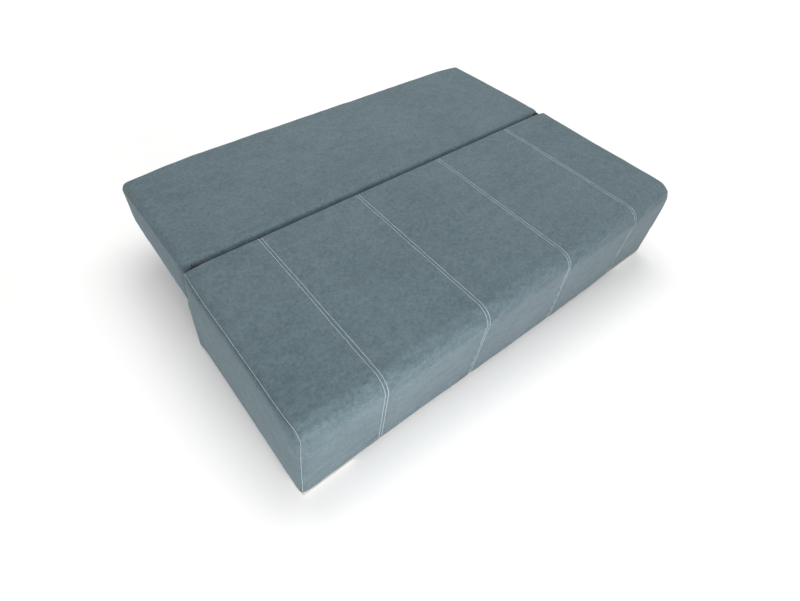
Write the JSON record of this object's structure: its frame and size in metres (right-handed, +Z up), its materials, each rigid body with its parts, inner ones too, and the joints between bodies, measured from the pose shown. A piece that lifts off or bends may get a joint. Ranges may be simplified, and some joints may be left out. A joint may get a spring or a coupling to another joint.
{
  "type": "storage sofa bed",
  "caption": "Armless sofa bed shown unfolded flat: channel-stitched seat that lifts off a storage chest, plain backrest on ratchet hinges, low feet, blue-grey velour",
  "frame": {"origin": "on the floor under the middle of the bounding box of the unfolded bed", "axes": "+X along the length to the right as seen from the front, +Y from the front edge of the seat to the outer end of the backrest, +Z up"},
  "size_m": [1.9, 1.407, 0.421],
  "materials": {
    "velour": "matt velour",
    "foam": "soft foam",
    "wadding": "polyester wadding",
    "felt": "needled felt",
    "webbing": "woven webbing",
    "lining": "non-woven lining",
    "timber": "planed pine",
    "board": "raw plywood",
    "hardboard": "hardboard",
    "fitting": "black satin paint",
    "steel": "zinc plated",
    "foot": "light grey satin",
    "black_plastic": "matt"
  },
  "bodies": {
    "base": {"chest_front_board": "board", "chest_rear_board": "board", "chest_side_board_left": "board", "chest_side_board_right": "board", "chest_bottom_panel": "hardboard", "chest_bottom_battens": "timber", "chest_corner_blocks": "timber", "seat_rest_pads": "felt", "front_foot_left": "foot", "front_foot_right": "foot", "rear_foot_left": "black_plastic", "rear_foot_right": "black_plastic", "base_bracket_left": "fitting", "base_bracket_right": "fitting", "base_bracket_bolts": "steel", "bracket_studs": "steel", "pivot_bolt_left": "steel", "pivot_bolt_right": "steel", "pivot_nuts_and_washers": "steel"},
    "seat": {"seat_front_rail": "timber", "seat_rear_rail": "timber", "seat_side_rail_left": "timber", "seat_side_rail_right": "timber", "seat_cross_rails": "timber", "front_apron_board": "board", "side_apron_board_left": "board", "side_apron_board_right": "board", "apron_spacer_blocks": "timber", "seat_webbing": "webbing", "seat_felt_pad": "felt", "seat_foam": "foam", "apron_padding": "wadding", "seat_cover": "velour", "side_cover_left": "velour", "side_cover_right": "velour", "seat_underside_cloth": "lining", "seat_arm_left": "fitting", "seat_arm_right": "fitting", "seat_arm_bolts": "steel", "seat_arm_packers": "timber"},
    "backrest": {"back_joint_rail": "timber", "back_outer_rail": "timber", "back_side_rail_left": "timber", "back_side_rail_right": "timber", "back_cross_rails": "timber", "back_webbing": "webbing", "back_felt_pad": "felt", "back_foam": "foam", "back_rear_padding": "wadding", "back_cover": "velour", "back_rear_cover": "velour", "back_arm_left": "fitting", "back_arm_right": "fitting", "back_arm_bolts": "steel", "back_arm_packers": "timber"},
    "pawl_left": {"pawl_left": "fitting"},
    "pawl_right": {"pawl_right": "fitting"}
  },
  "joints": [
    {"name": "seat_lift", "type": "hinge", "parent": "base", "child": "seat", "pos_m": [0, 0.061, 0.405], "axis": [-1, 0, 0], "range_deg": [0, 40]},
    {"name": "back_fold", "type": "hinge", "parent": "base", "child": "backrest", "pos_m": [0, 0.061, 0.405], "axis": [1, 0, 0], "range_deg": [0, 72]},
    {"name": "pawl_left_swing", "type": "hinge", "parent": "base", "child": "pawl_left", "pos_m": [-0.9012, 0.03, 0.335], "axis": [1, 0, 0], "range_deg": [0, 10]},
    {"name": "pawl_right_swing", "type": "hinge", "parent": "base", "child": "pawl_right", "pos_m": [0.9012, 0.03, 0.335], "axis": [1, 0, 0], "range_deg": [0, 10]}
  ]
}
